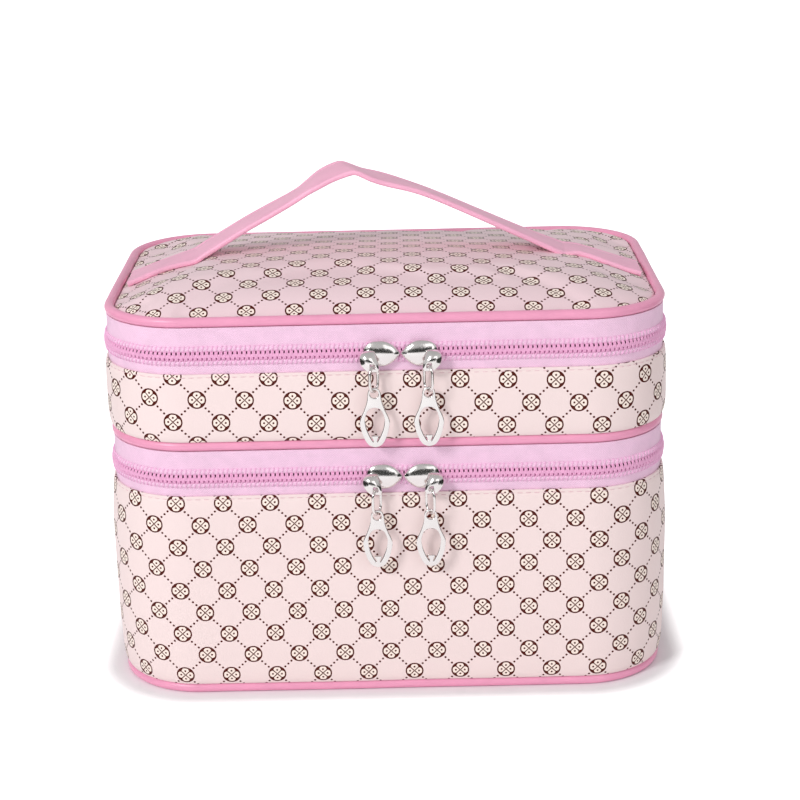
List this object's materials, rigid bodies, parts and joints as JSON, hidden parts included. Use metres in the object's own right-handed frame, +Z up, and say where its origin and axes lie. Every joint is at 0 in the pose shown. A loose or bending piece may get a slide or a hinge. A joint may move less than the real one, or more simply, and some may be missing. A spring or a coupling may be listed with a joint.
{
  "type": "zipped vanity case",
  "caption": "Soft two-storey vanity case: deep base, shallow tray and padded lid on zips and back strips, with a strap handle.",
  "frame": {"origin": "middle of the case's plan, on the face that it stands on", "axes": "+X along the front to the right as seen from the front, -Y towards the zip pulls, +Z up"},
  "size_m": [0.2298, 0.1633, 0.205],
  "materials": {
    "printed_leatherette": "semi-gloss, printed with a dotted trellis and small roundels",
    "bottom_leatherette": "semi-gloss",
    "hinge_leatherette": "semi-gloss",
    "piping": "gloss",
    "strap": "semi-gloss",
    "foam": "matt closed-cell foam sheet",
    "lining": "matt woven",
    "board": "matt",
    "zip_tape": "matt woven",
    "zip_coil": "satin",
    "nickel": "bright nickel plate"
  },
  "bodies": {
    "base": {"base_cover": "printed_leatherette", "base_wall_foam": "foam", "base_wall_lining": "lining", "base_piping": "piping", "base_bottom_cover": "bottom_leatherette", "base_bottom_board": "board", "base_bottom_lining": "lining", "lower_zip_lower_tape": "zip_tape", "lower_zip_lower_coil": "zip_coil", "lower_hinge_base_flap": "hinge_leatherette"},
    "tray": {"tray_cover": "printed_leatherette", "tray_wall_foam": "foam", "tray_wall_lining": "lining", "tray_piping": "piping", "tray_floor_board": "board", "tray_floor_lining": "lining", "tray_under_lining": "lining", "tray_seam_binding": "lining", "lower_zip_upper_tape": "zip_tape", "lower_zip_upper_coil": "zip_coil", "lower_hinge_tray_flap": "hinge_leatherette", "upper_zip_lower_tape": "zip_tape", "upper_zip_lower_coil": "zip_coil", "upper_hinge_tray_flap": "hinge_leatherette"},
    "lid": {"lid_cover": "printed_leatherette", "lid_foam": "foam", "lid_board": "board", "lid_lining": "lining", "lid_piping": "piping", "lid_seam_binding": "lining", "upper_zip_upper_tape": "zip_tape", "upper_zip_upper_coil": "zip_coil", "upper_hinge_lid_flap": "hinge_leatherette", "handle_left_end": "strap", "handle_right_end": "strap"},
    "handle": {"handle_strap": "strap"},
    "lower_left_slider": {"lower_left_slider": "nickel"},
    "lower_left_link": {"lower_left_link": "nickel"},
    "lower_left_puller": {"lower_left_puller": "nickel"},
    "lower_right_slider": {"lower_right_slider": "nickel"},
    "lower_right_link": {"lower_right_link": "nickel"},
    "lower_right_puller": {"lower_right_puller": "nickel"},
    "upper_left_slider": {"upper_left_slider": "nickel"},
    "upper_left_link": {"upper_left_link": "nickel"},
    "upper_left_puller": {"upper_left_puller": "nickel"},
    "upper_right_slider": {"upper_right_slider": "nickel"},
    "upper_right_link": {"upper_right_link": "nickel"},
    "upper_right_puller": {"upper_right_puller": "nickel"}
  },
  "joints": [
    {"name": "tray_hinge", "type": "hinge", "parent": "base", "child": "tray", "pos_m": [0, 0.0775, 0.09445], "axis": [-1, 0, 0], "range_deg": [0, 90]},
    {"name": "lid_hinge", "type": "hinge", "parent": "tray", "child": "lid", "pos_m": [0, 0.0775, 0.1456], "axis": [-1, 0, 0], "range_deg": [0, 100]},
    {"name": "handle_swing", "type": "hinge", "parent": "lid", "child": "handle", "pos_m": [0, 0, 0.1804], "axis": [1, 0, 0], "range_deg": [-60, 60]},
    {"name": "lower_left_slide", "type": "slide", "parent": "base", "child": "lower_left_slider", "axis": [1, 0, 0], "range_m": [-0.06, 0]},
    {"name": "lower_left_link_swing", "type": "hinge", "parent": "lower_left_slider", "child": "lower_left_link", "pos_m": [-0.0047, -0.0826, 0.08885], "axis": [-1, 0, 0], "range_deg": [-4, 80]},
    {"name": "lower_left_puller_swing", "type": "hinge", "parent": "lower_left_link", "child": "lower_left_puller", "pos_m": [-0.0047, -0.0826, 0.0834], "axis": [-0.866, 0.5, 0], "range_deg": [-4, 80]},
    {"name": "lower_right_slide", "type": "slide", "parent": "base", "child": "lower_right_slider", "axis": [1, 0, 0], "range_m": [0, 0.06]},
    {"name": "lower_right_link_swing", "type": "hinge", "parent": "lower_right_slider", "child": "lower_right_link", "pos_m": [0.0167, -0.0826, 0.08885], "axis": [-1, 0, 0], "range_deg": [-4, 80]},
    {"name": "lower_right_puller_swing", "type": "hinge", "parent": "lower_right_link", "child": "lower_right_puller", "pos_m": [0.0167, -0.0826, 0.0834], "axis": [-0.866, -0.5, 0], "range_deg": [-4, 80]},
    {"name": "upper_left_slide", "type": "slide", "parent": "tray", "child": "upper_left_slider", "axis": [1, 0, 0], "range_m": [-0.06, 0]},
    {"name": "upper_left_link_swing", "type": "hinge", "parent": "upper_left_slider", "child": "upper_left_link", "pos_m": [-0.0047, -0.0826, 0.14], "axis": [-1, 0, 0], "range_deg": [-4, 80]},
    {"name": "upper_left_puller_swing", "type": "hinge", "parent": "upper_left_link", "child": "upper_left_puller", "pos_m": [-0.0047, -0.0826, 0.13455], "axis": [-0.866, 0.5, 0], "range_deg": [-4, 80]},
    {"name": "upper_right_slide", "type": "slide", "parent": "tray", "child": "upper_right_slider", "axis": [1, 0, 0], "range_m": [0, 0.06]},
    {"name": "upper_right_link_swing", "type": "hinge", "parent": "upper_right_slider", "child": "upper_right_link", "pos_m": [0.0167, -0.0826, 0.14], "axis": [-1, 0, 0], "range_deg": [-4, 80]},
    {"name": "upper_right_puller_swing", "type": "hinge", "parent": "upper_right_link", "child": "upper_right_puller", "pos_m": [0.0167, -0.0826, 0.13455], "axis": [-0.866, -0.5, 0], "range_deg": [-4, 80]}
  ]
}
